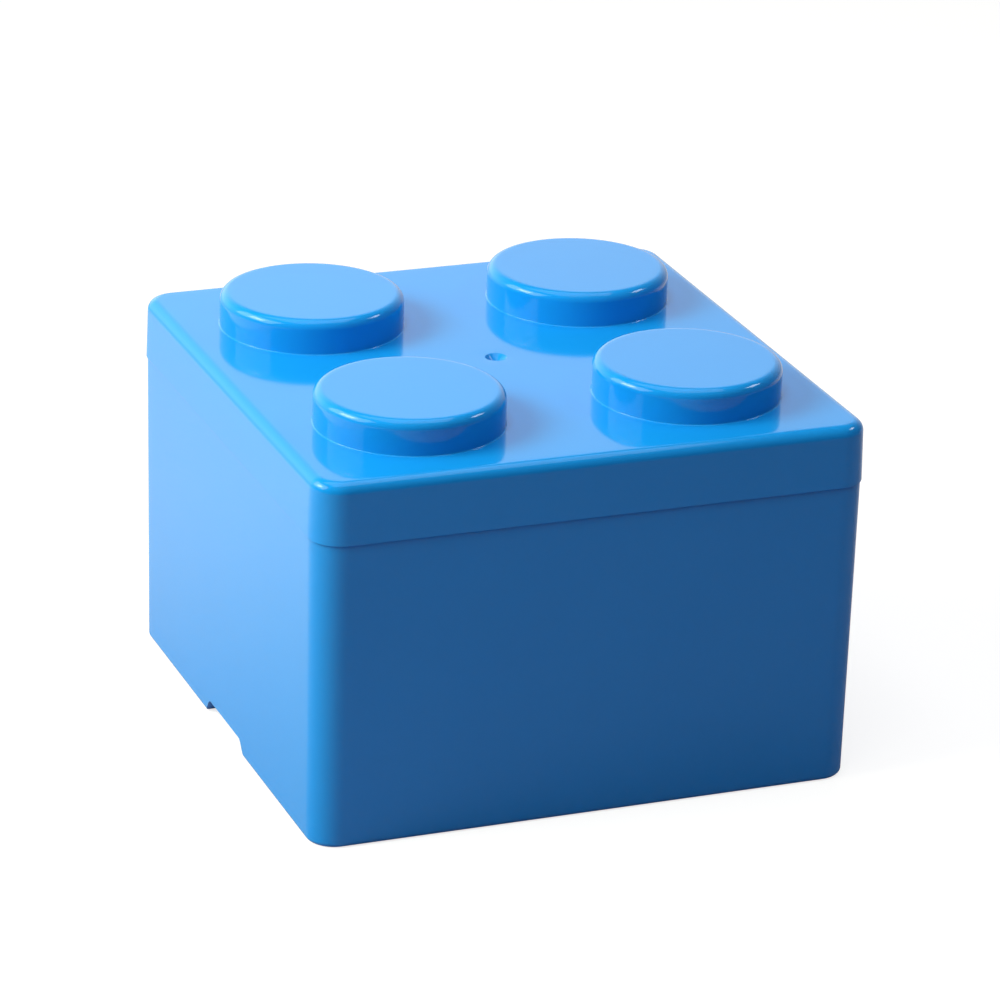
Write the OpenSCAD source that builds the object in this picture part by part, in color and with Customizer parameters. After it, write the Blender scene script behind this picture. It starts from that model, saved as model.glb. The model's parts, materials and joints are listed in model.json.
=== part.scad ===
// Stackable storage box in the shape of a building brick: a square tub with a
// lift-off lid that carries four hollow studs. The studs of one box fit the
// ring sockets under the next. Millimetres, +Z up, X to the right along the
// front, origin at the middle of the foot, on the table.

/* [Outside] */
// Width and depth of the lid over the rim of its skirt
lid_w = 125; // [115:1:150]
// Height of the tub's shoulder, where the lid's rim rests
shoulder_z = 68.9; // [45:0.1:100]
// Height of the lid's skirt, from its rim to the flat top
lid_h = 13.6; // [12:0.1:25]
// Radius of the upright corners at the lid's rim, seen from above
corner_r = 7; // [6.5:0.5:12]
// Radius of the lid's upper edge
top_edge_r = 2.5; // [1.5:0.1:4]
// How far the lid stands proud of the tub at the shoulder, on each side
lid_proud = 0.3; // [0.1:0.05:0.8]
// How much each side of the tub leans in, from the shoulder down to the foot
tub_lean = 0.45; // [0.1:0.05:1]
// How much each side of the lid leans in, from its rim up to the top
lid_lean = 0.33; // [0.05:0.01:0.45]

/* [Walls] */
// Thickness of the tub's walls
tub_wall = 2.6; // [2:0.1:3.2]
// Thickness of the tub's floor
floor_t = 2.2; // [1.5:0.1:4]
// Thickness of the rim round the stacking recess, below the floor
rim_t = 3; // [2.4:0.1:4]
// Thickness of the lid's skirt
skirt_wall = 1.3; // [1:0.1:1.8]
// Thickness of the lid's top plate and of its studs
plate_t = 2.2; // [1.5:0.1:3]
// Radius where the tub's walls meet its floor inside
inner_fillet_r = 3; // [0.5:0.1:3.6]

/* [Neck under the lid] */
// Height of the neck above the shoulder
neck_h = 9.5; // [4:0.1:9.6]
// Thickness of the neck at its mouth
neck_t = 1.1; // [0.9:0.05:1.4]
// Play between the neck and the lid's skirt, on each side
neck_play = 0.3; // [0.1:0.05:0.5]

/* [Studs and sockets] */
// Radius of a stud
stud_r = 20.5; // [15:0.5:24]
// Height of a stud above the lid's flat top
stud_h = 7.7; // [4:0.1:9]
// Radius of a stud's upper edge
stud_edge_r = 2.1; // [0.8:0.1:2.8]
// Gap between two boxes side by side on the stacking grid
grid_gap = 2; // [0:0.5:4]
// Play between a stud and the socket that it enters, all round
socket_play = 0.5; // [0.2:0.1:1]
// Room between a stud's top and the floor that it stands under
stack_room = 0.8; // [0.3:0.1:3]
// Thickness of a socket's ring
ring_wall = 1.4; // [1.1:0.1:2]
// Height of a ring's lower rim above the foot
ring_lift = 1.2; // [0.5:0.1:3]

/* [Foot] */
// Radius of the foot's outer edge
foot_edge_r = 1.2; // [0.5:0.1:1.5]
// Height of the finger notch in the foot of each side wall
notch_h = 3.7; // [2:0.1:6]
// Width of the finger notch at its top
notch_top_w = 21.5; // [12:0.5:40]

/* [Gate marks] */
// Radius of the conical dimple in the middle of the lid
gate_r = 2.4; // [2.2:0.1:4]
// Depth of the lid's dimple
gate_depth = 1.5; // [0.6:0.1:1.6]
// Depth of the dimple under the middle of the tub's floor
floor_gate_depth = 1; // [0.5:0.1:1]
// Radius of the sprue's stub, which stands in each dimple
stub_r = 0.5; // [0.3:0.1:0.5]
// Height of the stub
stub_h = 0.3; // [0.1:0.1:0.4]

/* [Hidden] */
$fn = 96;

blue = [0.10, 0.50, 0.90];

// The sides of both pieces are swept round this square, which joins the
// centres of the upright corners.
core = lid_w / 2 - corner_r;

// Radius that breaks a sharp moulded edge, and the one at a stud's foot
break_r = 0.3;
// The largest draft of a wall, in degrees
most_draft = 4;
// How much the stacking recess narrows from the foot up to the floor, and the
// neck from the shoulder up to its mouth
recess_lean = 0.15;
neck_lean = 0.25;
// Radii where the floor's underside and the lid's plate meet their walls
recess_fillet_r = 0.8;
plate_fillet_r = 1;
// Radii of the neck's outer edge, a ring's lower edges and the hollow's top
neck_edge_r = 0.5;
ring_edge_r = 0.5;
hollow_edge_r = 1.2;
// How far the pad under the lid's dimple stands down from the plate, and how
// much wider than the dimple it is all round
pad_h = 1.2;
pad_margin = 2;
// The notch's ends rise 4 for every 3 across. Its corners' radii, below and above
notch_foot_r = 1.5;
notch_top_r = 1.8;
// How far a cut runs past the face that it goes through
past = 1;

// Heights
top_z = shoulder_z + lid_h;
plate_z = top_z - plate_t;
stud_z = top_z + stud_h;
neck_z = shoulder_z + neck_h;
floor_under_z = stud_h + stack_room;
floor_z = floor_under_z + floor_t;

// Distances from the middle of the box to the flat of a side
rim_x = lid_w / 2;
lid_top_x = rim_x - lid_lean;
skirt_in_x = rim_x - skirt_wall;
skirt_in_top_x = lid_top_x - skirt_wall;
shoulder_x = rim_x - lid_proud;
foot_x = shoulder_x - tub_lean;
neck_x = skirt_in_x - neck_play;
neck_top_x = neck_x - neck_lean;
mouth_x = neck_top_x - neck_t;
tub_in_x = foot_x - tub_wall;
foot_in_x = foot_x - rim_t;
recess_x = foot_in_x - recess_lean;

pitch = (lid_w + grid_gap) / 2;
socket_r = stud_r + socket_play;
stud_in_r = stud_r - plate_t;
gate_pad_r = gate_r + pad_margin;
gate_floor_r = gate_r - gate_depth;
notch_top_x = notch_top_w / 2;
notch_foot_x = notch_top_x + notch_h * 3 / 4;

// Sections of the two pieces through the flat of a side, as corners
// [distance from the middle, height, radius], anticlockwise. Both end at the
// core square, where the floor or the plate carries on.
tub_section = [
    [core, floor_under_z, 0],
    [recess_x, floor_under_z, recess_fillet_r],
    [foot_in_x, 0, break_r / 2],
    [foot_x, 0, foot_edge_r],
    [shoulder_x, shoulder_z, break_r],
    [neck_x, shoulder_z, 0],
    [neck_top_x, neck_z, neck_edge_r],
    [mouth_x, neck_z, break_r],
    [tub_in_x, floor_z, inner_fillet_r],
    [core, floor_z, 0]
];

lid_section = [
    [core, plate_z, 0],
    [skirt_in_top_x, plate_z, plate_fillet_r],
    [skirt_in_x, shoulder_z, break_r],
    [rim_x, shoulder_z, break_r],
    [lid_top_x, top_z, top_edge_r],
    [core, top_z, 0]
];

// Half section of a stud, from its axis, with a narrow flange sunk in the
// plate for the small radius at its foot
stud_section = [
    [0, top_z - plate_t / 2, 0],
    [stud_r + break_r, top_z - plate_t / 2, 0],
    [stud_r + break_r, top_z, 0],
    [stud_r, top_z, break_r],
    [stud_r, stud_z, stud_edge_r],
    [0, stud_z, 0]
];

// Half section of a socket's ring, sunk in the floor, with a rounded rim that
// leads the stud in
ring_section = [
    [socket_r, ring_lift, ring_edge_r],
    [socket_r + ring_wall, ring_lift, ring_edge_r],
    [socket_r + ring_wall, floor_under_z + floor_t / 2, 0],
    [socket_r, floor_under_z + floor_t / 2, 0]
];

// Half section of the hollow in a stud, open downwards
hollow_section = [
    [0, plate_z - past, 0],
    [stud_in_r, plate_z - past, 0],
    [stud_in_r, stud_z - plate_t, hollow_edge_r],
    [0, stud_z - plate_t, 0]
];

// Half section of a dimple that widens at 45 degrees, round the sprue's stub.
// It stands on the dimple's floor, at height 0.
function gate_section(depth) = [
    [0, stub_h, 0],
    [stub_r, stub_h, 0],
    [stub_r, 0, 0],
    [gate_floor_r, 0, 0],
    [gate_floor_r + depth + past, depth + past, 0],
    [0, depth + past, 0]
];

// The finger notch in the plane of a side wall, with its corners rounded
notch_section = [
    [-notch_foot_x - notch_foot_r, -past, 0],
    [notch_foot_x + notch_foot_r, -past, 0],
    [notch_foot_x + notch_foot_r, 0, 0],
    [notch_foot_x, 0, notch_foot_r],
    [notch_top_x, notch_h, notch_top_r],
    [-notch_top_x, notch_h, notch_top_r],
    [-notch_foot_x, 0, notch_foot_r],
    [-notch_foot_x - notch_foot_r, 0, 0]
];

// ---- Outlines with true arcs at their corners ----

function unit(v) = v / norm(v);
function xy(p) = [p[0], p[1]];

// Heading of the line from a to b. A wall with no more than a mould's draft
// counts as upright, so that the arcs at its ends are true quarter circles.
function heading(a, b) = [
    for (c = unit(xy(b) - xy(a)))
        abs(c) < sin(most_draft) ? 0 : abs(c) > cos(most_draft) ? sign(c) : c
];
function before(pts, i) = heading(pts[(i + len(pts) - 1) % len(pts)], pts[i]);
function after(pts, i) = heading(pts[i], pts[(i + 1) % len(pts)]);

// Turn of the path at corner i: above 0 where the outline bulges
function turn(pts, i) =
    let(a = before(pts, i), b = after(pts, i)) atan2(cross(a, b), a * b);

// Distance from corner i to the two points where its arc starts and ends
function setback(pts, i) = pts[i][2] * tan(abs(turn(pts, i)) / 2);
function arc_start(pts, i) = xy(pts[i]) - setback(pts, i) * before(pts, i);
function arc_end(pts, i) = xy(pts[i]) + setback(pts, i) * after(pts, i);
function arc_centre(pts, i) =
    let(a = before(pts, i), side = sign(turn(pts, i)))
    arc_start(pts, i) + pts[i][2] * side * [-a[1], a[0]];

// The sliver between the arc at corner i and its chord
module arc_segment(pts, i) {
    r = pts[i][2];
    centre = arc_centre(pts, i);
    out = r * unit(xy(pts[i]) - centre);
    intersection() {
        translate(centre)
            circle(r);
        polygon([
            arc_start(pts, i),
            arc_end(pts, i),
            arc_end(pts, i) + out,
            arc_start(pts, i) + out
        ]);
    }
}

// A closed outline through corners [x, y, radius], anticlockwise
module outline(pts) {
    rounded = [for (i = [0:len(pts) - 1]) if (pts[i][2] > 0) i];
    difference() {
        union() {
            polygon([
                for (i = [0:len(pts) - 1])
                    each pts[i][2] > 0 ? [arc_start(pts, i), arc_end(pts, i)] : [xy(pts[i])]
            ]);
            for (i = rounded)
                if (turn(pts, i) > 0)
                    arc_segment(pts, i);
        }
        for (i = rounded)
            if (turn(pts, i) < 0)
                arc_segment(pts, i);
    }
}

// ---- Shared forms ----

// Sweeps a section round the core square: straight along each side, and turned
// about each corner's own upright axis
module sweep_round_square() {
    for (quarter = [0:3])
        rotate(90 * quarter) {
            translate([0, core, 0])
                rotate([90, 0, 0])
                    linear_extrude(2 * core)
                        children();
            translate([core, core, 0])
                rotate_extrude(angle = 90)
                    translate([-core, 0])
                        children();
        }
}

// The flat middle of a floor or plate, inside the core square
module core_slab(z, t) {
    translate([-core, -core, z])
        cube([2 * core, 2 * core, t]);
}

// Puts a copy at each of the four stud positions
module at_studs() {
    for (x = [-pitch / 2, pitch / 2], y = [-pitch / 2, pitch / 2])
        translate([x, y, 0])
            children();
}

// The dimple that a mould leaves round a gate, to be cut from a face above it
module gate_dimple(depth) {
    rotate_extrude()
        outline(gate_section(depth));
}

// ---- Box: the tub, with its neck, floor and stacking recess ----

// Ring under the floor that takes a stud of the box below
module socket_ring() {
    rotate_extrude()
        outline(ring_section);
}

// Cuts the finger notches through the feet of the left and right walls
module finger_notches() {
    translate([-lid_w, 0, 0])
        rotate([90, 0, 90])
            linear_extrude(2 * lid_w)
                outline(notch_section);
}

module box() {
    color(blue)
        difference() {
            union() {
                difference() {
                    sweep_round_square()
                        outline(tub_section);
                    finger_notches();
                }
                core_slab(floor_under_z, floor_t);
                at_studs()
                    socket_ring();
            }
            translate([0, 0, floor_under_z + floor_gate_depth])
                rotate([180, 0, 0])
                    gate_dimple(floor_gate_depth);
        }
}

// ---- Lid: plate, skirt and studs in one ----

module lid() {
    color(blue)
        difference() {
            union() {
                sweep_round_square()
                    outline(lid_section);
                core_slab(plate_z, plate_t);
                at_studs()
                    rotate_extrude()
                        outline(stud_section);
                // Pad that keeps the plate thick under the dimple
                translate([0, 0, plate_z - pad_h])
                    cylinder(h = plate_t, r = gate_pad_r);
            }
            at_studs()
                rotate_extrude()
                    outline(hollow_section);
            translate([0, 0, top_z - gate_depth])
                gate_dimple(gate_depth);
        }
}

box();
lid();
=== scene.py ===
"""Stackable brick shaped storage box: the two glossy mouldings, the studio and the camera.

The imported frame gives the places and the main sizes. Each moulding is modelled as one quarter of
the box, mirrored twice, and stands for its CAD node. Lengths are in metres, +Z up, X to the right
along the front.
"""
import json
import logging
import math
from dataclasses import dataclass
from enum import Enum
from typing import Callable, Iterable, Sequence

import bmesh
import bpy
from mathutils import Matrix, Vector


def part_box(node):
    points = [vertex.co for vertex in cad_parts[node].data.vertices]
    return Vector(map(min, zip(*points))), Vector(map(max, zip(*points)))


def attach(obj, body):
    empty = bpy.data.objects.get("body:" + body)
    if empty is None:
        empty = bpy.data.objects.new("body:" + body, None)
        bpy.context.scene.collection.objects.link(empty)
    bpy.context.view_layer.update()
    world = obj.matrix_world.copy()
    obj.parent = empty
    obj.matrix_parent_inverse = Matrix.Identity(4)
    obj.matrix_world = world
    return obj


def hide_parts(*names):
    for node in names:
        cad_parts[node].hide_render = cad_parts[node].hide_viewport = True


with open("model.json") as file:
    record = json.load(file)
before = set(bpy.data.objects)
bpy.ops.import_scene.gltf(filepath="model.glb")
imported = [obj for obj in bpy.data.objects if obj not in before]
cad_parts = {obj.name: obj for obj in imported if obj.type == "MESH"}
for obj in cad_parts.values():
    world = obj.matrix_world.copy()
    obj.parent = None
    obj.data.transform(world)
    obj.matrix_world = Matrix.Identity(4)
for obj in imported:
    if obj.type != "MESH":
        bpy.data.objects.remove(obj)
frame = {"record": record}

LOG = logging.getLogger("storage_box")

MM = 0.001
# Vertices nearer to each other than this are at one place.
CLOSE = 0.002 * MM
QUARTER_TURN = math.pi / 2
# The spin operator turns clockwise about its axis, so this one turns from +X to +Y.
SPIN_AXIS = (0.0, 0.0, -1.0)
# How far a round outline is lifted while a plate is bridged to it, and the plate's rings of faces.
BRIDGE_LIFT = 10.0 * MM
PLATE_RINGS = 6
# Width of the plain ring of faces between a round edge and the faces beside it.
EDGE_RING = 0.6 * MM
# Faces that meet at less than this angle are shaded as one, and flat ones keep their own normals.
SMOOTH_ANGLE = math.radians(32.0)
FLAT_FACE_WEIGHT = 90
# Patches per metre in which the plastic's shade and sheen vary, and the middle value of a noise.
PATCH_SCALE = 55.0
NOISE_MIDDLE = 0.5

Place = Callable[[Vector], bool]
Colour = tuple[float, float, float]
WHITE: Colour = (1.0, 1.0, 1.0)


# ---- Frame ----


def mount(name: str) -> dict:
    """Finds one of the record's mounts.

    Args:
        name: The mount's name.

    Returns:
        The mount, with its place in metres and its sizes in millimetres.
    """
    return next(entry for entry in frame["record"]["mounts"] if entry["name"] == name)


# ---- Hand tools: what a modeller does in edit mode ----


def deselect_everything() -> None:
    """Leaves no object selected, so that an operator acts only on what comes next."""
    bpy.ops.object.select_all(action="DESELECT")


def deselect_mesh(kind: str = "VERT") -> None:
    """Leaves nothing selected in the open mesh, and sets the kind of part that is picked next."""
    bpy.ops.mesh.select_mode(type=kind)
    bpy.ops.mesh.select_all(action="DESELECT")


def choose(piece: bpy.types.Object) -> None:
    """Makes a piece the active and only selected one.

    Args:
        piece: The piece.
    """
    deselect_everything()
    piece.select_set(True)
    bpy.context.view_layer.objects.active = piece


def enter(piece: bpy.types.Object) -> None:
    """Chooses a piece and opens its mesh for editing, with nothing in it selected.

    Args:
        piece: The mesh object to work on.
    """
    choose(piece)
    bpy.ops.object.mode_set(mode="EDIT")
    deselect_mesh()


def leave() -> None:
    """Closes the mesh that is open for editing."""
    bpy.ops.object.mode_set(mode="OBJECT")


def pick(piece: bpy.types.Object, inside: Place) -> None:
    """Selects the vertices at a place, with the edges and faces between them.

    Args:
        piece: The object whose mesh is open for editing.
        inside: Says whether a vertex's place belongs to the selection.
    """
    deselect_mesh()
    mesh = bmesh.from_edit_mesh(piece.data)
    for vertex in mesh.verts:
        if inside(vertex.co):
            vertex.select_set(True)
    mesh.select_flush(True)
    bmesh.update_edit_mesh(piece.data)


def pick_open_edges(piece: bpy.types.Object, inside: Place) -> None:
    """Selects the edges at a place that have fewer than two faces.

    Args:
        piece: The object whose mesh is open for editing.
        inside: Says whether a vertex's place belongs to the selection.
    """
    deselect_mesh("EDGE")
    mesh = bmesh.from_edit_mesh(piece.data)
    for edge in mesh.edges:
        if len(edge.link_faces) < 2 and all(inside(vertex.co) for vertex in edge.verts):
            edge.select_set(True)
    bmesh.update_edit_mesh(piece.data)


def at_height(height: float) -> Place:
    """Returns a test for vertices at one height."""
    return lambda place: abs(place.z - height) < CLOSE


def push(step: Vector) -> None:
    """Extrudes what is selected by one step.

    Args:
        step: The direction and length of the step.
    """
    bpy.ops.mesh.extrude_region_move(TRANSFORM_OT_translate={"value": step})


def draw_line(start: Vector, stops: Iterable[Vector]) -> None:
    """Draws a line of edges in the open mesh: one vertex, extruded from stop to stop.

    Args:
        start: Where the line starts.
        stops: The places that it runs through, in order.
    """
    deselect_mesh()
    bpy.ops.mesh.primitive_plane_add(size=MM, location=start)
    bpy.ops.mesh.merge(type="CENTER")
    here = start
    for stop in stops:
        push(stop - here)
        here = stop


def divided(start: Vector, end: Vector, parts: int) -> list[Vector]:
    """Returns the stops that divide the line from start to end into equal parts."""
    return [start.lerp(end, part / parts) for part in range(1, parts + 1)]


def merge_doubles() -> None:
    """Merges vertices of the open mesh that lie at one place."""
    bpy.ops.mesh.select_mode(type="VERT")
    bpy.ops.mesh.select_all(action="SELECT")
    bpy.ops.mesh.remove_doubles(threshold=CLOSE)
    bpy.ops.mesh.select_all(action="DESELECT")


def joined(pieces: Sequence[bpy.types.Object], name: str) -> bpy.types.Object:
    """Joins several objects into one and merges their shared vertices.

    Args:
        pieces: The objects, of which the first one stays.
        name: The name of the joined object.

    Returns:
        The joined object.
    """
    deselect_everything()
    for piece in pieces:
        piece.select_set(True)
    bpy.context.view_layer.objects.active = pieces[0]
    bpy.ops.object.join()
    whole = bpy.context.object
    whole.name = name
    whole.data.name = name
    enter(whole)
    merge_doubles()
    leave()
    return whole


# ---- Sections, sweeps and turnings ----


@dataclass(frozen=True)
class Corner:
    """A corner of a section.

    Attributes:
        out: Distance from the middle of the box, or from the axis of a turned form.
        z: Height.
        radius: Radius of the round, or 0 where the corner stays sharp.
        steps: Number of flats that the round is made of.
    """

    out: float
    z: float
    radius: float = 0.0
    steps: int = 6

    def place(self) -> Vector:
        """Returns the corner's place in the plane y = 0."""
        return Vector((self.out, 0.0, self.z))


def draw_section(name: str, corners: Sequence[Corner]) -> bpy.types.Object:
    """Draws a section as a line of edges in the plane y = 0 and rounds its corners.

    Args:
        name: The name of the new object.
        corners: The section's corners in order, from one open end to the other.

    Returns:
        The object, which holds edges only.
    """
    deselect_everything()
    bpy.ops.mesh.primitive_plane_add(size=MM, location=corners[0].place())
    piece = bpy.context.object
    bpy.ops.object.transform_apply(location=True, rotation=True, scale=True)
    piece.name = name
    enter(piece)
    bpy.ops.mesh.select_all(action="SELECT")
    bpy.ops.mesh.merge(type="CENTER")
    for here, following in zip(corners, corners[1:]):
        push(following.place() - here.place())
    for before, corner, after in zip(corners, corners[1:], corners[2:]):
        if corner.radius > 0.0:
            round_corner(piece, before, corner, after)
    leave()
    return piece


def round_corner(piece: bpy.types.Object, before: Corner, corner: Corner, after: Corner) -> None:
    """Rounds one corner of an open section.

    Args:
        piece: The object that holds the section.
        before: The corner before it.
        corner: The corner to round.
        after: The corner after it.
    """
    turn = (corner.place() - before.place()).angle(after.place() - corner.place())
    pick(piece, lambda place: (place - corner.place()).length < CLOSE)
    bpy.ops.mesh.bevel(
        offset=corner.radius * math.tan(turn / 2),
        offset_type="ABSOLUTE",
        affect="VERTICES",
        segments=corner.steps,
        profile=0.5,
    )


def turned(
    name: str, corners: Sequence[Corner], axis: Vector, steps: int, angle: float = math.tau
) -> bpy.types.Object:
    """Turns a section about an upright axis, as on a lathe.

    Args:
        name: The name of the new object.
        corners: The section, with its distances measured from the axis.
        axis: Where the axis stands.
        steps: Number of flats all round.
        angle: How far the section turns, from the side of +X towards +Y.

    Returns:
        The turned object.
    """
    piece = draw_section(name, corners)
    enter(piece)
    bpy.ops.mesh.select_all(action="SELECT")
    bpy.ops.transform.translate(value=axis)
    bpy.ops.mesh.spin(steps=steps, angle=angle, center=axis, axis=SPIN_AXIS)
    merge_doubles()
    leave()
    return piece


@dataclass(frozen=True)
class QuarterSweep:
    """The way round one quarter of the box: half a side, an upright corner, half a side.

    Attributes:
        core: Distance from the middle of the box to the axes of its upright corners.
        side_parts: Number of flats along half a side.
        corner_parts: Number of flats round a corner.
    """

    core: float
    side_parts: int = 20
    corner_parts: int = 12

    def out(self, place: Vector) -> float:
        """Returns how far out a place is, as the distance from the middle to the flat of a side."""
        beyond = Vector((max(abs(place.x) - self.core, 0.0), max(abs(place.y) - self.core, 0.0)))
        return self.core + beyond.length

    def run(self, name: str, corners: Sequence[Corner]) -> bpy.types.Object:
        """Sweeps a section from the middle of the right side to the middle of the back.

        Args:
            name: The name of the new object.
            corners: The section, with its distances measured from the middle of the box.

        Returns:
            The swept quarter of a wall.
        """
        piece = draw_section(name, corners)
        enter(piece)
        bpy.ops.mesh.select_all(action="SELECT")
        for _ in range(self.side_parts):
            push(Vector((0.0, self.core / self.side_parts, 0.0)))
        bpy.ops.mesh.spin(
            steps=self.corner_parts,
            angle=QUARTER_TURN,
            center=(self.core, self.core, 0.0),
            axis=SPIN_AXIS,
        )
        for _ in range(self.side_parts):
            push(Vector((-self.core / self.side_parts, 0.0, 0.0)))
        merge_doubles()
        leave()
        return piece


# ---- Plates between the walls and the round forms ----


def rule_axes(
    piece: bpy.types.Object, height: float, start: float, end: float, parts: int
) -> None:
    """Draws the two straight edges of a quarter plate, along +X and along +Y.

    Args:
        piece: The quarter that the plate belongs to.
        height: The plate's height.
        start: Distance from the middle of the box at which the edges start.
        end: Distance at which they end.
        parts: Number of parts that each edge has.
    """
    enter(piece)
    for axis in (Vector((1.0, 0.0, 0.0)), Vector((0.0, 1.0, 0.0))):
        first = axis * start + Vector((0.0, 0.0, height))
        last = axis * end + Vector((0.0, 0.0, height))
        draw_line(first, divided(first, last, parts))
    merge_doubles()
    leave()


def bridge_plate(
    piece: bpy.types.Object, height: float, reach: float, axis: Vector, radius: float
) -> None:
    """Fills a quarter plate from its outline to the round form that stands on it.

    The round outline is lifted while the two are bridged, so that the bridge knows which way it
    faces, and then the new faces are pressed flat.

    Args:
        piece: The quarter, with both outlines open at that height.
        height: The plate's height.
        reach: Distance from the middle of the box to the plate's edge.
        axis: Where the round form's axis stands.
        radius: Radius of the round form's foot.
    """
    level = at_height(height)
    lifted = at_height(height + BRIDGE_LIFT)
    enter(piece)
    on_form = within(axis, radius)
    pick_open_edges(piece, lambda place: level(place) and on_form(place))
    bpy.ops.transform.translate(value=(0.0, 0.0, BRIDGE_LIFT))
    pick_open_edges(
        piece,
        lambda place: lifted(place) or (level(place) and max(place.xy) < reach + CLOSE),
    )
    bpy.ops.mesh.bridge_edge_loops(number_cuts=PLATE_RINGS - 1, interpolation="LINEAR")
    bpy.ops.transform.resize(value=(1.0, 1.0, 0.0), center_override=(0.0, 0.0, height))
    leave()


def fill_flat(piece: bpy.types.Object, height: float, inside: Place, span: int) -> None:
    """Fills an open outline at a height with a grid of faces.

    Args:
        piece: The object with the open outline.
        height: The outline's height.
        inside: Says whether a vertex at that height belongs to the outline.
        span: Number of faces along one side of the grid.
    """
    level = at_height(height)
    enter(piece)
    pick_open_edges(piece, lambda place: level(place) and inside(place))
    bpy.ops.mesh.fill_grid(span=span, use_interp_simple=True)
    leave()


def within(axis: Vector, radius: float) -> Place:
    """Returns a test for places no further than a radius from an upright axis."""
    return lambda place: (place - axis).xy.length < radius + CLOSE


def mirrored(
    part: bpy.types.Object, name: str, across: tuple[bool, bool, bool] = (True, True, False)
) -> bpy.types.Object:
    """Mirrors a part of a form about the middle of the box and closes it to one skin.

    Args:
        part: The part that was modelled, on the right or at the back right.
        name: The name of the whole.
        across: Whether it is mirrored along X, Y and Z.

    Returns:
        The whole form, with its faces pointing outwards.
    """
    choose(part)
    mirror = part.modifiers.new("other_side", "MIRROR")
    mirror.use_axis = across
    mirror.merge_threshold = CLOSE
    bpy.ops.object.modifier_apply(modifier=mirror.name)
    part.name = name
    part.data.name = name
    enter(part)
    merge_doubles()
    bpy.ops.mesh.select_all(action="SELECT")
    bpy.ops.mesh.normals_make_consistent(inside=False)
    leave()
    return part


def smooth(piece: bpy.types.Object) -> None:
    """Shades a moulding smooth, with its flat faces left truly flat.

    Args:
        piece: The finished mesh.
    """
    choose(piece)
    bpy.ops.object.shade_smooth_by_angle(angle=SMOOTH_ANGLE)
    weighted = piece.modifiers.new("flat_faces_stay_flat", "WEIGHTED_NORMAL")
    weighted.keep_sharp = True
    weighted.weight = FLAT_FACE_WEIGHT
    bpy.ops.object.modifier_apply(modifier=weighted.name)


def open_edge_count(piece: bpy.types.Object) -> int:
    """Counts the edges of a mesh that don't lie between exactly two faces.

    Args:
        piece: The mesh object.

    Returns:
        How many there are, which is 0 for a closed skin.
    """
    mesh = bmesh.new()
    mesh.from_mesh(piece.data)
    count = sum(1 for edge in mesh.edges if len(edge.link_faces) != 2)
    mesh.free()
    return count


# ---- Finishes ----


class NodeSheet:
    """A node tree that is laid out one node at a time."""

    def __init__(self, tree: bpy.types.NodeTree) -> None:
        """Starts on a cleared tree.

        Args:
            tree: The material's, world's or group's node tree.
        """
        self.tree = tree
        tree.nodes.clear()

    def add(self, kind: str, **settings: object) -> bpy.types.Node:
        """Adds a node.

        Args:
            kind: The node's type, such as ShaderNodeTexNoise.
            **settings: Properties of the node to set.

        Returns:
            The new node.
        """
        node = self.tree.nodes.new(kind)
        for name, value in settings.items():
            setattr(node, name, value)
        return node

    def link(self, source: bpy.types.NodeSocket, target: bpy.types.NodeSocket) -> None:
        """Links an output to an input."""
        self.tree.links.new(source, target)

    def feed(self, target: bpy.types.NodeSocket, value: object) -> None:
        """Links an output to an input, or sets a number on it.

        Args:
            target: The input.
            value: The output socket or the number.
        """
        if isinstance(value, bpy.types.NodeSocket):
            self.link(value, target)
        else:
            target.default_value = value

    def math(self, operation: str, first: object, second: object) -> bpy.types.NodeSocket:
        """Adds a Math node on two numbers or sockets.

        Args:
            operation: The node's operation, such as MULTIPLY.
            first: The first number or output socket.
            second: The second number or output socket.

        Returns:
            The result's socket.
        """
        node = self.add("ShaderNodeMath", operation=operation)
        self.feed(node.inputs[0], first)
        self.feed(node.inputs[1], second)
        return node.outputs[0]

    def mirror_rays(self, ray: bpy.types.Node) -> bpy.types.NodeSocket:
        """Returns what is 1 for a ray that gloss or glass sends on, from a Light Path node."""
        return self.math(
            "MAXIMUM", ray.outputs["Is Glossy Ray"], ray.outputs["Is Transmission Ray"])

    def mix(self, share: object, first: object, second: object) -> bpy.types.NodeSocket:
        """Adds a Mix Shader node.

        Args:
            share: The second shader's share.
            first: The socket of the first shader.
            second: The socket of the second shader.

        Returns:
            The socket of the mixed shader.
        """
        node = self.add("ShaderNodeMixShader")
        for target, source in zip(node.inputs, (share, first, second)):
            self.feed(target, source)
        return node.outputs[0]


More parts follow.
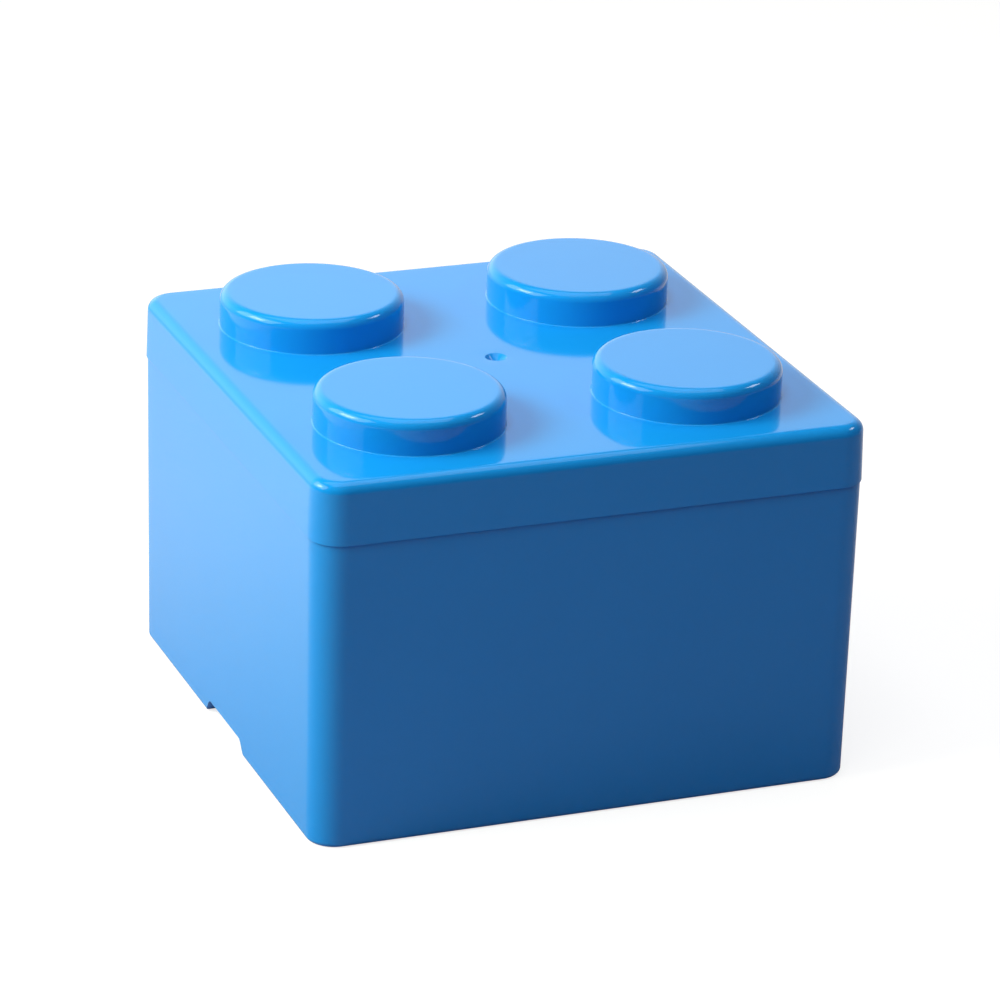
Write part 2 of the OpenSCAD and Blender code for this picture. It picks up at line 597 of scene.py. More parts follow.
def skin_group() -> bpy.types.NodeTree:
    """Builds the group for the skin that a steel mould leaves on plastic.

    It has a long shallow wave, a fine grain, and a sheen that varies a little.

    Returns:
        The node group, with named inputs and outputs.
    """
    group = bpy.data.node_groups.new("moulded_skin", "ShaderNodeTree")
    sockets = {
        "INPUT": ("Wave Scale", "Wave Height", "Grain Scale", "Grain Height", "Roughness",
                  "Roughness Spread"),
        "OUTPUT": ("Height", "Roughness", "Shade"),
    }
    for way, names in sockets.items():
        for name in names:
            group.interface.new_socket(name, in_out=way, socket_type="NodeSocketFloat")
    sheet = NodeSheet(group)
    given = sheet.add("NodeGroupInput")
    result = sheet.add("NodeGroupOutput")
    place = sheet.add("ShaderNodeTexCoord").outputs["Object"]

    def noise(scale: object, detail: float) -> bpy.types.NodeSocket:
        """Adds a noise about zero, in object space.

        Args:
            scale: The noise's scale, as a number or a socket.
            detail: How many finer layers it has.

        Returns:
            The noise's socket.
        """
        texture = sheet.add("ShaderNodeTexNoise")
        texture.inputs["Detail"].default_value = detail
        sheet.feed(texture.inputs["Scale"], scale)
        sheet.link(place, texture.inputs["Vector"])
        return sheet.math("SUBTRACT", texture.outputs["Fac"], NOISE_MIDDLE)

    wave = sheet.math(
        "MULTIPLY", noise(given.outputs["Wave Scale"], detail=1.0), given.outputs["Wave Height"])
    grain = sheet.math(
        "MULTIPLY", noise(given.outputs["Grain Scale"], detail=2.0), given.outputs["Grain Height"])
    patches = noise(PATCH_SCALE, detail=3.0)
    spread = sheet.math("MULTIPLY", patches, given.outputs["Roughness Spread"])
    sheet.link(sheet.math("ADD", wave, grain), result.inputs["Height"])
    sheet.link(sheet.math("ADD", given.outputs["Roughness"], spread), result.inputs["Roughness"])
    sheet.link(sheet.math("ADD", patches, NOISE_MIDDLE), result.inputs["Shade"])
    return group


class Finish(Enum):
    """The finishes of the blue plastic, by the slot that each has on a moulding."""

    POLISHED = 0
    SATIN = 1


@dataclass(frozen=True)
class PlasticFinish:
    """One finish of the blue plastic.

    Attributes:
        name: The material's name.
        deep: Colour in the slightly deeper patches, linear.
        bright: Colour elsewhere, linear.
        roughness: Middle of the roughness.
        roughness_spread: How far the roughness varies.
        grain_scale: Grains per metre.
        grain_height: Height of the grain, in millimetres.
        wave_scale: Waves per metre of the long shallow wave.
        wave_height: Height of the wave, in millimetres.
        ior: Index of refraction.
    """

    name: str
    deep: Colour
    bright: Colour
    roughness: float
    roughness_spread: float
    grain_scale: float
    grain_height: float
    wave_scale: float = 70.0
    wave_height: float = 0.004
    ior: float = 1.45

    def material(self, skin: bpy.types.NodeTree) -> bpy.types.Material:
        """Builds the finish as a material.

        Args:
            skin: The group of the moulded skin.

        Returns:
            The material.
        """
        material = bpy.data.materials.new(self.name)
        material.use_nodes = True
        sheet = NodeSheet(material.node_tree)
        surface = sheet.add("ShaderNodeGroup", node_tree=skin)
        for name, value in (
            ("Wave Scale", self.wave_scale),
            ("Wave Height", self.wave_height),
            ("Grain Scale", self.grain_scale),
            ("Grain Height", self.grain_height),
            ("Roughness", self.roughness),
            ("Roughness Spread", self.roughness_spread),
        ):
            surface.inputs[name].default_value = value

        tone = sheet.add("ShaderNodeMix", data_type="RGBA")
        tone.inputs["A"].default_value = (*self.deep, 1.0)
        tone.inputs["B"].default_value = (*self.bright, 1.0)
        sheet.link(surface.outputs["Shade"], tone.inputs["Factor"])

        relief = sheet.add("ShaderNodeBump")
        relief.inputs["Strength"].default_value = 1.0
        relief.inputs["Distance"].default_value = MM
        sheet.link(surface.outputs["Height"], relief.inputs["Height"])

        plastic = sheet.add("ShaderNodeBsdfPrincipled")
        plastic.inputs["IOR"].default_value = self.ior
        sheet.link(tone.outputs["Result"], plastic.inputs["Base Color"])
        sheet.link(surface.outputs["Roughness"], plastic.inputs["Roughness"])
        sheet.link(relief.outputs["Normal"], plastic.inputs["Normal"])
        output = sheet.add("ShaderNodeOutputMaterial")
        sheet.link(plastic.outputs["BSDF"], output.inputs["Surface"])
        return material


FINISHES = {
    Finish.POLISHED: PlasticFinish(
        name="blue_plastic_polished",
        deep=(0.0058, 0.262, 0.725),
        bright=(0.0062, 0.274, 0.748),
        roughness=0.09,
        roughness_spread=0.03,
        grain_scale=2500.0,
        grain_height=0.0002,
    ),
    Finish.SATIN: PlasticFinish(
        name="blue_plastic_satin",
        deep=(0.0065, 0.256, 0.71),
        bright=(0.0075, 0.27, 0.738),
        roughness=0.36,
        roughness_spread=0.08,
        grain_scale=3200.0,
        grain_height=0.006,
    ),
}


class Moulding:
    """One closed form of the blue plastic, polished outside and satin inside."""

    def build(self) -> bpy.types.Object:
        """Returns the moulding's mesh object."""
        raise NotImplementedError

    def is_inside(self, place: Vector) -> bool:
        """Says whether a place is on the inner skin."""
        raise NotImplementedError

    def dress(
        self, piece: bpy.types.Object, materials: dict[Finish, bpy.types.Material]
    ) -> None:
        """Gives the moulding its polished outside and its satin inside.

        Args:
            piece: The moulding's mesh object.
            materials: The material of each finish.
        """
        for finish in Finish:
            piece.data.materials.append(materials[finish])
        enter(piece)
        pick(piece, self.is_inside)
        piece.active_material_index = Finish.SATIN.value
        bpy.ops.object.material_slot_assign()
        leave()


# ---- Gate marks ----


@dataclass(frozen=True)
class GateMark:
    """The conical dimple that a mould leaves round its gate, with the sprue's stub in it.

    Attributes:
        radius: Radius of the dimple's mouth.
        depth: Depth of the dimple, whose side slopes at 45 degrees.
        lip: How far below the face the mouth's eased edge starts.
        lip_slope: Width of that edge as a multiple of its depth.
        stub_radius: Radius of the stub.
        stub_height: Height of the stub.
        stub_edge_radius: Radius of the round on the stub's edge.
        stub_root_radius: Radius of the round at the stub's foot.
        floor_edge_radius: Radius of the round where the dimple's side meets its floor.
        steps: Number of flats round a quarter.
    """

    radius: float
    depth: float
    lip: float = 0.08 * MM
    lip_slope: float = 1.4
    stub_radius: float = 0.5 * MM
    stub_height: float = 0.3 * MM
    stub_edge_radius: float = 0.15 * MM
    stub_root_radius: float = 0.1 * MM
    floor_edge_radius: float = 0.3 * MM
    steps: int = 8

    @property
    def reach(self) -> float:
        """Distance from the axis to where the plate goes on."""
        return self.radius + self.lip_slope * self.lip

    def quarter(self, face_z: float, inwards: int) -> bpy.types.Object:
        """Makes a quarter of the mark.

        Args:
            face_z: Height of the face that it lies in.
            inwards: 1 where the plastic is above the face, -1 where it is below.

        Returns:
            The quarter, open at the face.
        """
        floor_z = face_z + inwards * self.depth
        stub_z = floor_z - inwards * self.stub_height
        return turned("gate", [
            Corner(0.0, stub_z),
            Corner(self.stub_radius, stub_z, self.stub_edge_radius, 3),
            Corner(self.stub_radius, floor_z, self.stub_root_radius, 2),
            Corner(self.radius - self.depth, floor_z, self.floor_edge_radius, 3),
            Corner(self.radius - self.lip, face_z + inwards * self.lip),
            Corner(self.reach, face_z),
        ], Vector(), self.steps, QUARTER_TURN)


# ---- Lid ----


@dataclass
class Lid(Moulding):
    """The lift-off lid: top plate, skirt and four hollow studs in one moulding."""

    sweep: QuarterSweep
    rim: float
    rim_z: float
    top_z: float
    stud_z: float
    stud_radius: float
    stud_axis: Vector
    lean: float = 0.33 * MM
    skirt_wall: float = 1.3 * MM
    plate: float = 2.2 * MM
    top_edge_radius: float = 2.5 * MM
    rim_edge_radius: float = 0.2 * MM
    break_radius: float = 0.3 * MM
    plate_fillet: float = 1.0 * MM
    stud_edge_radius: float = 2.1 * MM
    hollow_edge_radius: float = 1.2 * MM
    foot_ring: float = 1.0 * MM
    flat_reach: float = 58.0 * MM
    axis_parts: int = 18
    stud_steps: int = 96
    gate: GateMark = GateMark(radius=2.4 * MM, depth=1.5 * MM)
    pad_radius: float = 4.4 * MM
    pad_height: float = 1.2 * MM

    @property
    def plate_z(self) -> float:
        """Height of the plate's underside."""
        return self.top_z - self.plate

    @property
    def foot_radius(self) -> float:
        """Radius of the flat ring that the stud's foot starts from."""
        return self.stud_radius + self.foot_ring

    @property
    def hollow_radius(self) -> float:
        """Radius of the hollow inside a stud."""
        return self.stud_radius - self.plate

    def wall(self) -> bpy.types.Object:
        """Sweeps a quarter of the skirt with the plate's edges, outside and inside.

        Returns:
            The quarter, open where the plate's flats start.
        """
        inner = self.rim - self.skirt_wall
        return self.sweep.run("lid_wall", [
            Corner(self.flat_reach, self.top_z),
            Corner(self.rim - self.lean, self.top_z, self.top_edge_radius, 10),
            Corner(self.rim, self.rim_z, self.rim_edge_radius, 3),
            Corner(inner, self.rim_z, self.break_radius, 4),
            Corner(inner - self.lean, self.plate_z, self.plate_fillet, 6),
            Corner(self.flat_reach, self.plate_z),
        ])

    def stud(self) -> bpy.types.Object:
        """Turns the outside of one stud.

        Returns:
            The stud, open round its foot.
        """
        shell = turned("stud", [
            Corner(self.foot_radius, self.top_z),
            Corner(self.stud_radius, self.top_z, self.break_radius, 4),
            Corner(self.stud_radius, self.stud_z, self.stud_edge_radius, 10),
            Corner(self.stud_radius - self.stud_edge_radius - EDGE_RING, self.stud_z),
        ], self.stud_axis, self.stud_steps)
        inner = within(self.stud_axis, self.stud_radius)
        fill_flat(shell, self.stud_z, inner, self.stud_steps // 4)
        return shell

    def hollow(self) -> bpy.types.Object:
        """Turns the inside of one stud.

        Returns:
            The hollow, open at the plate's underside.
        """
        radius = self.hollow_radius
        roof_z = self.stud_z - self.plate
        shell = turned("stud_hollow", [
            Corner(radius, self.plate_z),
            Corner(radius, roof_z, self.hollow_edge_radius, 6),
            Corner(radius - self.hollow_edge_radius - EDGE_RING, roof_z),
        ], self.stud_axis, self.stud_steps)
        fill_flat(shell, roof_z, within(self.stud_axis, radius), self.stud_steps // 4)
        return shell

    def pad(self) -> bpy.types.Object:
        """Turns a quarter of the pad that backs the dimple.

        Returns:
            The quarter, open at the plate's underside.
        """
        low = self.plate_z - self.pad_height
        return turned("gate_pad", [
            Corner(0.0, low),
            Corner(self.pad_radius, low, self.break_radius, 3),
            Corner(self.pad_radius, self.plate_z),
        ], Vector(), self.gate.steps, QUARTER_TURN)

    def is_inside(self, place: Vector) -> bool:
        """Says whether a place is on the lid's inner skin, which is hidden while it is on.

        Args:
            place: A vertex's place.

        Returns:
            Whether it is there.
        """
        under_plate = place.z < self.plate_z + CLOSE
        under_roof = place.z < self.stud_z - self.plate + CLOSE
        from_axis = (Vector((abs(place.x), abs(place.y))) - self.stud_axis.xy).length
        in_stud = under_roof and from_axis < self.hollow_radius + CLOSE
        return in_stud or (under_plate and self.sweep.out(place) < self.rim - self.skirt_wall)

    def build(self) -> bpy.types.Object:
        """Joins the quarter's parts, fills its plate and mirrors it.

        Returns:
            The whole lid as one closed mesh.
        """
        gate = self.gate.quarter(self.top_z, -1)
        quarter = joined([self.wall(), self.stud(), self.hollow(), gate, self.pad()], "lid_quarter")
        for height, start, radius in (
            (self.top_z, self.gate.reach, self.foot_radius),
            (self.plate_z, self.pad_radius, self.hollow_radius),
        ):
            rule_axes(quarter, height, start, self.flat_reach, self.axis_parts)
            bridge_plate(quarter, height, self.flat_reach, self.stud_axis, radius)
        whole = mirrored(quarter, "lid_moulding")
        smooth(whole)
        return whole


# ---- Tub ----


@dataclass
class Tub(Moulding):
    """The box itself: walls, neck, floor, and the stacking recess with its four ring sockets."""

    sweep: QuarterSweep
    shoulder: float
    shoulder_z: float
    neck_z: float
    floor_under_z: float
    socket_radius: float
    socket_axis: Vector
    ring_z: float
    lean: float = 0.45 * MM
    wall_thickness: float = 2.6 * MM
    floor_thickness: float = 2.2 * MM
    rim_thickness: float = 3.0 * MM
    recess_lean: float = 0.15 * MM
    neck_out: float = 60.9 * MM
    neck_lean: float = 0.25 * MM
    neck_thickness: float = 1.1 * MM
    neck_edge_radius: float = 0.5 * MM
    inner_fillet: float = 3.0 * MM
    shoulder_edge_radius: float = 0.15 * MM
    foot_edge_radius: float = 1.2 * MM
    foot_inner_radius: float = 0.15 * MM
    recess_root: float = 0.8 * MM
    break_radius: float = 0.3 * MM
    floor_margin: float = 0.1 * MM
    recess_margin: float = 1.5 * MM
    floor_parts: int = 22
    floor_span: int = 24
    recess_parts: int = 18
    ring_wall: float = 1.4 * MM
    ring_edge_radius: float = 0.5 * MM
    ring_steps: int = 96
    notch_height: float = 3.7 * MM
    notch_top_width: float = 21.5 * MM
    notch_slope: float = 0.75
    notch_foot_radius: float = 1.5 * MM
    notch_top_radius: float = 1.8 * MM
    notch_margin: float = 1.5 * MM
    cutter_depth: float = 1.0 * MM
    cutter_reach: float = 5.0 * MM
    gate: GateMark = GateMark(radius=1.9 * MM, depth=1.0 * MM)

    @property
    def floor_z(self) -> float:
        """Height of the floor's upper face."""
        return self.floor_under_z + self.floor_thickness

    @property
    def foot(self) -> float:
        """Distance from the middle to the outer wall's foot."""
        return self.shoulder - self.lean

    @property
    def floor_reach(self) -> float:
        """Distance from the middle to where the floor's upper face starts to curve up."""
        return self.foot - self.wall_thickness - self.inner_fillet - self.floor_margin

    @property
    def recess_reach(self) -> float:
        """Distance from the middle to the edge of the flat underside."""
        return self.foot - self.rim_thickness - self.recess_margin

    @property
    def ring_reach(self) -> float:
        """Radius of the plain ring round a socket's outside."""
        return self.socket_radius + self.ring_wall + EDGE_RING

    def wall(self) -> bpy.types.Object:
        """Sweeps a quarter of the wall, from the floor over the neck and down to the recess.

        Returns:
            The quarter, open where the floor's two faces start.
        """
        neck_top = self.neck_out - self.neck_lean
        recess_foot = self.foot - self.rim_thickness
        return self.sweep.run("tub_wall", [
            Corner(self.floor_reach, self.floor_z),
            Corner(self.foot - self.wall_thickness, self.floor_z, self.inner_fillet, 8),
            Corner(neck_top - self.neck_thickness, self.neck_z, self.break_radius, 4),
            Corner(neck_top, self.neck_z, self.neck_edge_radius, 5),
            Corner(self.neck_out, self.shoulder_z),
            Corner(self.shoulder, self.shoulder_z, self.shoulder_edge_radius, 3),
            Corner(self.foot, 0.0, self.foot_edge_radius, 8),
            Corner(recess_foot, 0.0, self.foot_inner_radius, 3),
            Corner(recess_foot - self.recess_lean, self.floor_under_z, self.recess_root, 5),
            Corner(self.recess_reach, self.floor_under_z),
        ])

    def socket(self) -> bpy.types.Object:
        """Turns one ring socket with the floor inside it.

        Returns:
            The socket, open round its outside.
        """
        outer = self.socket_radius + self.ring_wall
        ring = turned("socket", [
            Corner(self.ring_reach, self.floor_under_z),
            Corner(outer, self.floor_under_z, self.break_radius, 3),
            Corner(outer, self.ring_z, self.ring_edge_radius, 5),
            Corner(self.socket_radius, self.ring_z, self.ring_edge_radius, 5),
            Corner(self.socket_radius, self.floor_under_z, self.break_radius, 3),
            Corner(self.socket_radius - EDGE_RING, self.floor_under_z),
        ], self.socket_axis, self.ring_steps)
        inner = within(self.socket_axis, self.socket_radius)
        fill_flat(ring, self.floor_under_z, inner, self.ring_steps // 4)
        return ring

    def notch_cutter(self) -> bpy.types.Object:
        """Draws and extrudes the form that cuts the finger notches through both side walls.

        Returns:
            The cutter, on the left and on the right.
        """
        top = self.notch_top_width / 2
        foot = top + self.notch_height * self.notch_slope
        flare = foot + self.notch_margin
        below = -self.cutter_depth
        cutter = draw_section("notch_cutter", [
            Corner(0.0, below),
            Corner(flare, below),
            Corner(flare, 0.0),
            Corner(foot, 0.0, self.notch_foot_radius, 6),
            Corner(top, self.notch_height, self.notch_top_radius, 8),
            Corner(-top, self.notch_height, self.notch_top_radius, 8),
            Corner(-foot, 0.0, self.notch_foot_radius, 6),
            Corner(-flare, 0.0),
            Corner(-flare, below),
            Corner(0.0, below),
        ])
        enter(cutter)
        merge_doubles()
        bpy.ops.mesh.select_all(action="SELECT")
        bpy.ops.mesh.edge_face_add()
        bpy.ops.transform.rotate(
            value=QUARTER_TURN, orient_axis="Z", center_override=(0.0, 0.0, 0.0))
        bpy.ops.transform.translate(value=(self.recess_reach, 0.0, 0.0))
        push(Vector((self.shoulder + self.cutter_reach - self.recess_reach, 0.0, 0.0)))
        leave()
        return mirrored(cutter, "notch_cutters", (True, False, False))

    def is_inside(self, place: Vector) -> bool:
        """Says whether a place is on the tub's inner skin or in the recess under its floor."""
        return self.sweep.out(place) < self.neck_out - self.neck_lean - self.neck_thickness / 2

    def build(self) -> bpy.types.Object:
        """Joins the quarter's parts, fills its floor, mirrors it and cuts the notches.

        Returns:
            The whole tub as one closed mesh.
        """
        gate = self.gate.quarter(self.floor_under_z, 1)
        quarter = joined([self.wall(), self.socket(), gate], "tub_quarter")
        under = self.floor_under_z
        rule_axes(quarter, under, self.gate.reach, self.recess_reach, self.recess_parts)
        bridge_plate(quarter, under, self.recess_reach, self.socket_axis, self.ring_reach)
        rule_axes(quarter, self.floor_z, 0.0, self.floor_reach, self.floor_parts)
        reach = self.floor_reach + CLOSE
        fill_flat(quarter, self.floor_z, lambda place: max(place.xy) < reach, self.floor_span)
        whole = mirrored(quarter, "tub_moulding")
        cut_away(whole, self.notch_cutter())
        smooth(whole)
        return whole


def cut_away(piece: bpy.types.Object, cutter: bpy.types.Object) -> None:
    """Cuts one closed form out of another and throws the cutter away.

    Args:
        piece: The piece that is cut.
        cutter: The form to cut out of it.
    """
    choose(piece)
    cut = piece.modifiers.new("cut", "BOOLEAN")
    cut.operation = "DIFFERENCE"
    cut.solver = "EXACT"
    cut.object = cutter
    bpy.ops.object.modifier_apply(modifier=cut.name)
    bpy.data.objects.remove(cutter, do_unlink=True)


# ---- Studio ----


def direction(azimuth: float, elevation: float) -> Vector:
    """Finds the way to a place in the studio.

    Args:
        azimuth: Angle from the front of the box towards its right, in degrees.
        elevation: Angle above the table, in degrees.

    Returns:
        The unit vector from the box.
    """
    turn, rise = math.radians(azimuth), math.radians(elevation)
    return Vector((
        math.sin(turn) * math.cos(rise), -math.cos(turn) * math.cos(rise), math.sin(rise)))


@dataclass(frozen=True)
class StudioCamera:
    """A long lens a metre away, above the front left corner, held with a slight roll.

    Attributes:
        azimuth: Where it stands, in degrees.
        elevation: How high it stands, in degrees.
        roll: How far it leans, in degrees.
        distance: How far it stands from the point that it turns to.
        aim_height: Height of that point.
        lens: Focal length, in millimetres.
        sensor: Width of the sensor, in millimetres.
        shift: How far the lens is shifted, as shares of the frame.
    """

    azimuth: float = -21.57
    elevation: float = 22.056
    roll: float = 1.785
    distance: float = 1.05709
    aim_height: float = 0.045
    lens: float = 171.513
    sensor: float = 36.0
    shift: tuple[float, float] = (0.008984, 0.015514)

    def place(self) -> None:
        """Makes the camera and lets the scene look through it."""
        back = direction(self.azimuth, self.elevation)
        right = (-back).cross(Vector((0.0, 0.0, 1.0))).normalized()
        up = right.cross(-back)
        roll = math.radians(self.roll)
        tilted_right = right * math.cos(roll) + up * math.sin(roll)
        tilted_up = up * math.cos(roll) - right * math.sin(roll)
        turn = Matrix((tilted_right, tilted_up, back)).transposed().to_4x4()
        spot = back * self.distance + Vector((0.0, 0.0, self.aim_height))

        optics = bpy.data.cameras.new("studio_camera")
        optics.sensor_width = self.sensor
        optics.lens = self.lens
        optics.shift_x, optics.shift_y = self.shift
        camera = bpy.data.objects.new("studio_camera", optics)
        camera.matrix_world = Matrix.Translation(spot) @ turn
        bpy.context.scene.collection.objects.link(camera)
        bpy.context.scene.camera = camera


@dataclass(frozen=True)
class Softbox:
    """A rectangular softbox that faces the middle of the box.

    Attributes:
        name: The lamp's name.
        azimuth: Where it stands, in degrees.
        elevation: How high it stands, in degrees.
        size: Its width and height.
        radiance: Its brightness as the box sees it, where 1 is white.
        distance: How far it stands from the box.
        mirrored: Whether glossy surfaces show it.
        colour: Colour of its light.
    """

    name: str
    azimuth: float
    elevation: float
    size: tuple[float, float]
    radiance: float
    distance: float = 1.2
    mirrored: bool = True
    colour: Colour = WHITE

    def place(self) -> None:
        """Makes the lamp."""
        lamp = bpy.data.lights.new(self.name, "AREA")
        lamp.shape = "RECTANGLE"
        lamp.size, lamp.size_y = self.size
        lamp.energy = self.radiance * math.pi * self.size[0] * self.size[1]
        lamp.color = self.colour
        towards = direction(self.azimuth, self.elevation)
        holder = bpy.data.objects.new(self.name, lamp)
        holder.location = towards * self.distance
        holder.rotation_euler = towards.to_track_quat("Z", "Y").to_euler()
        holder.visible_glossy = self.mirrored
        bpy.context.scene.collection.objects.link(holder)


LAMPS = (
    Softbox("key_left", -101.0, 38.0, (0.653, 0.40), radiance=3.1, distance=0.7),
    Softbox("key_middle", -101.0, 38.0, (0.22, 0.14), radiance=10.0, distance=0.69),
    Softbox(
        "left_fill", -91.0, 38.0, (0.32, 0.36), radiance=9.0, distance=0.75,
        mirrored=False, colour=(1.0, 1.0, 0.62)),
    Softbox("fill_right", 84.0, 44.0, (0.32, 0.19), radiance=8.0),
    Softbox("overhead", 180.0, 85.0, (1.0, 1.0), radiance=1.31),
    Softbox("front_fill", -30.0, 66.0, (0.50, 0.50), radiance=5.1, mirrored=False),
)


@dataclass(frozen=True)
class Side:
    """How bright one side of the studio is.

    Attributes:
        azimuth: Direction of the side's middle, in degrees.
        low: Radiance near the table, where 1 is white.
        high: Radiance overhead.
    """

    azimuth: float
    low: float
    high: float


@dataclass(frozen=True)
class Surroundings:
    """The studio's walls and ceiling, each side blending into the next.

    Attributes:
        sides: The sides that give light, a quarter turn apart.
        low_rise: Sine of the elevation below which a side has its low radiance.
        high_rise: Sine of the elevation above which it has its high radiance.
        mirror_share: How much white a mirroring surface sees in place of a side.
    """

    sides: tuple[Side, ...] = (
        Side(0.0, 0.0, 0.06),
        Side(90.0, 0.05, 0.05),
        Side(180.0, 1.51, 0.0),
    )
    low_rise: float = 0.2
    high_rise: float = 0.8
    mirror_share: float = 0.05

    def place(self) -> None:
        """Makes the world, which is white where the camera looks straight at it."""
        world = bpy.data.worlds.new("studio")
        bpy.context.scene.world = world
        world.use_nodes = True
        sheet = NodeSheet(world.node_tree)
        towards = sheet.add("ShaderNodeTexCoord").outputs["Generated"]
        flat = sheet.add("ShaderNodeVectorMath", operation="MULTIPLY")
        flat.inputs[1].default_value = (1.0, 1.0, 0.0)
        sheet.link(towards, flat.inputs[0])
        heading = sheet.add("ShaderNodeVectorMath", operation="NORMALIZE")
        sheet.link(flat.outputs[0], heading.inputs[0])
        axes = sheet.add("ShaderNodeSeparateXYZ")
        sheet.link(towards, axes.inputs[0])
        total: object = 0.0
        for side in self.sides:
            total = sheet.math("ADD", total, self.side_light(sheet, side, heading, axes))
        ray = sheet.add("ShaderNodeLightPath")
        share = sheet.math("MULTIPLY", sheet.mirror_rays(ray), self.mirror_share)
        white = sheet.math("MAXIMUM", ray.outputs["Is Camera Ray"], share)
        room = sheet.add("ShaderNodeBackground")
        room.inputs["Color"].default_value = (*WHITE, 1.0)
        sheet.link(total, room.inputs["Strength"])
        backdrop = sheet.add("ShaderNodeBackground")
        backdrop.inputs["Color"].default_value = (*WHITE, 1.0)
        output = sheet.add("ShaderNodeOutputWorld")
        seen = sheet.mix(white, room.outputs[0], backdrop.outputs[0])
        sheet.link(seen, output.inputs["Surface"])

    def side_light(
        self, sheet: NodeSheet, side: Side, heading: bpy.types.Node, axes: bpy.types.Node
    ) -> bpy.types.NodeSocket:
        """Adds the nodes of one side.

        Args:
            sheet: The world's node sheet.
            side: The side.
            heading: Node that gives the level direction looked in.
            axes: Node that gives the direction's three parts.

        Returns:
            The side's share of the radiance in the direction looked in.
        """
        facing = sheet.add("ShaderNodeVectorMath", operation="DOT_PRODUCT")
        sheet.link(heading.outputs[0], facing.inputs[0])
        facing.inputs[1].default_value = direction(side.azimuth, 0.0)
        near = sheet.math("MAXIMUM", facing.outputs["Value"], 0.0)
        level = sheet.add("ShaderNodeMapRange", interpolation_type="SMOOTHSTEP")
        level.inputs["From Min"].default_value = self.low_rise
        level.inputs["From Max"].default_value = self.high_rise
        level.inputs["To Min"].default_value = side.low
        level.inputs["To Max"].default_value = side.high
        sheet.link(axes.outputs["Z"], level.inputs["Value"])
        # The squares of two sides a quarter turn apart add up to one, whichever way one looks.
        return sheet.math("MULTIPLY", sheet.math("POWER", near, 2.0), level.outputs["Result"])


@dataclass(frozen=True)
class Table:
    """The plain pale table top that the box stands on.

    Attributes:
        size: Width and depth.
        paper: Colour that the table top throws on the box, a cool grey.
        mirrored_paper: Colour that a reflection of the table top shows.
        lift: White added where the camera looks straight at it.
        lifted_paper: Colour that is left there, which keeps the shadow.
        painted_back_glow: Glow painted on the table top that only reflections see, a painted
            reflection of a floor that is brighter behind the box.
        back_glow_start: How far back the painted glow starts to brighten.
        back_glow_end: How far back the painted glow has its full brightness.
    """

    size: float = 8.0
    paper: Colour = (0.24, 0.265, 0.385)
    mirrored_paper: Colour = (0.36, 0.37, 0.385)
    lift: float = 0.78
    lifted_paper: Colour = (0.32, 0.32, 0.32)
    # Painted light: the table top glows for reflections only, more towards the back of the box.
    painted_back_glow: float = 0.51
    back_glow_start: float = -0.06
    back_glow_end: float = 0.16

    def place(self) -> None:
        """Makes the table top with its material."""
        deselect_everything()
        bpy.ops.mesh.primitive_plane_add(size=self.size)
        top = bpy.context.object
        top.name = "table_top"
        top.data.materials.append(self.material())

    def material(self) -> bpy.types.Material:
        """Builds the table top's material.

        Returns:
            The material.
        """
        material = bpy.data.materials.new("pale_table")
        material.use_nodes = True
        sheet = NodeSheet(material.node_tree)
        ray = sheet.add("ShaderNodeLightPath")
        axes = sheet.add("ShaderNodeSeparateXYZ")
        sheet.link(sheet.add("ShaderNodeTexCoord").outputs["Object"], axes.inputs[0])
        # Painted reflection: reflections see the table top glow more towards the back, in place of
        # a floor that is lit more brightly there.
        back = sheet.add("ShaderNodeMapRange", interpolation_type="SMOOTHSTEP")
        back.inputs["From Min"].default_value = self.back_glow_start
        back.inputs["From Max"].default_value = self.back_glow_end
        back.inputs["To Max"].default_value = self.painted_back_glow
        sheet.link(axes.outputs["Y"], back.inputs["Value"])
        plain = self.paper_layer(sheet, self.paper, 0.0)
        mirrored = self.paper_layer(sheet, self.mirrored_paper, back.outputs["Result"])
        lifted = self.paper_layer(sheet, self.lifted_paper, self.lift)
        thrown = sheet.mix(sheet.mirror_rays(ray), plain, mirrored)
        seen = sheet.mix(ray.outputs["Is Camera Ray"], thrown, lifted)
        output = sheet.add("ShaderNodeOutputMaterial")
        sheet.link(seen, output.inputs["Surface"])
        return material

    def paper_layer(
        self, sheet: NodeSheet, colour: Colour, light: object
    ) -> bpy.types.NodeSocket:
        """Adds plain paper with some light of its own.

        Args:
            sheet: The table top's node sheet.
            colour: The paper's colour.
            light: The strength of its own light, as a number or a socket.

        Returns:
            The shader's socket.
        """
        paper = sheet.add("ShaderNodeBsdfDiffuse")
        paper.inputs["Color"].default_value = (*colour, 1.0)
        glow = sheet.add("ShaderNodeEmission")
        sheet.feed(glow.inputs["Strength"], light)
        both = sheet.add("ShaderNodeAddShader")
        sheet.link(paper.outputs[0], both.inputs[0])
        sheet.link(glow.outputs[0], both.inputs[1])
        return both.outputs[0]


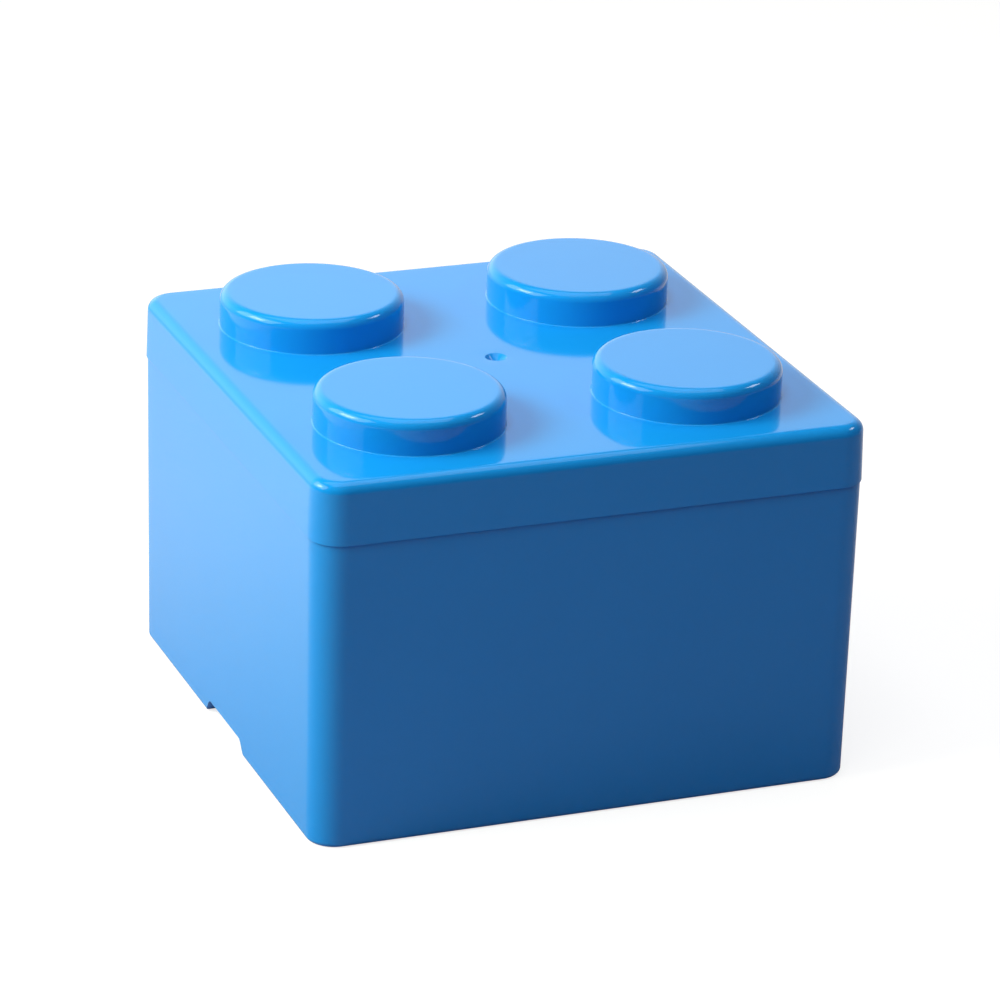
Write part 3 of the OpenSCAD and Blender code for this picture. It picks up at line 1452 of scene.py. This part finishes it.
def light_studio() -> None:
    """Sets the camera, the surroundings, the table and the softboxes.

    The left and front fills aren't mirrored by gloss, so they brighten without bleaching it.
    """
    bpy.context.scene.view_settings.view_transform = "Standard"
    StudioCamera().place()
    Surroundings().place()
    Table().place()
    for lamp in LAMPS:
        lamp.place()


# ---- Whole object ----


def make_lid(sweep: QuarterSweep) -> Lid:
    """Reads the lid's places from the frame.

    Args:
        sweep: The way round the box.

    Returns:
        The lid, not yet built.
    """
    low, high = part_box("lid")
    stud = mount("stud_back_right")
    return Lid(
        sweep,
        rim=high.x,
        rim_z=low.z,
        top_z=mount("stack_seat")["pos_m"][2],
        stud_z=high.z,
        stud_radius=stud["dims"]["r_mm"] * MM,
        stud_axis=Vector((stud["pos_m"][0], stud["pos_m"][1], 0.0)),
    )


def make_tub(sweep: QuarterSweep, lid: Lid) -> Tub:
    """Reads the tub's places from the frame.

    Args:
        sweep: The way round the box.
        lid: The lid that goes with it.

    Returns:
        The tub, not yet built.
    """
    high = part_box("box")[1]
    sockets = mount("stacking_sockets")
    stack_room = 0.8 * MM
    return Tub(
        sweep,
        shoulder=high.x,
        shoulder_z=lid.rim_z,
        neck_z=high.z,
        floor_under_z=lid.stud_z - lid.top_z + stack_room,
        socket_radius=sockets["dims"]["hole_r_mm"] * MM,
        socket_axis=lid.stud_axis,
        ring_z=sockets["pos_m"][2],
    )


def report(piece: bpy.types.Object) -> None:
    """Logs a piece's faces and whether its skin is closed."""
    faces = len(piece.data.polygons)
    LOG.info("%s: %d faces, %d open edges", piece.name, faces, open_edge_count(piece))


def main() -> None:
    """Builds the two mouldings, dresses them and lights them."""
    logging.basicConfig(level=logging.INFO, format="%(name)s: %(message)s")
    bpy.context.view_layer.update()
    skin = skin_group()
    materials = {finish: recipe.material(skin) for finish, recipe in FINISHES.items()}
    sweep = QuarterSweep(core=55.5 * MM)
    lid = make_lid(sweep)
    tub = make_tub(sweep, lid)
    for moulding, node in ((lid, "lid"), (tub, "box")):
        piece = moulding.build()
        moulding.dress(piece, materials)
        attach(piece, node)
        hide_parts(node)
        report(piece)
    light_studio()


if __name__ == "__main__":
    main()
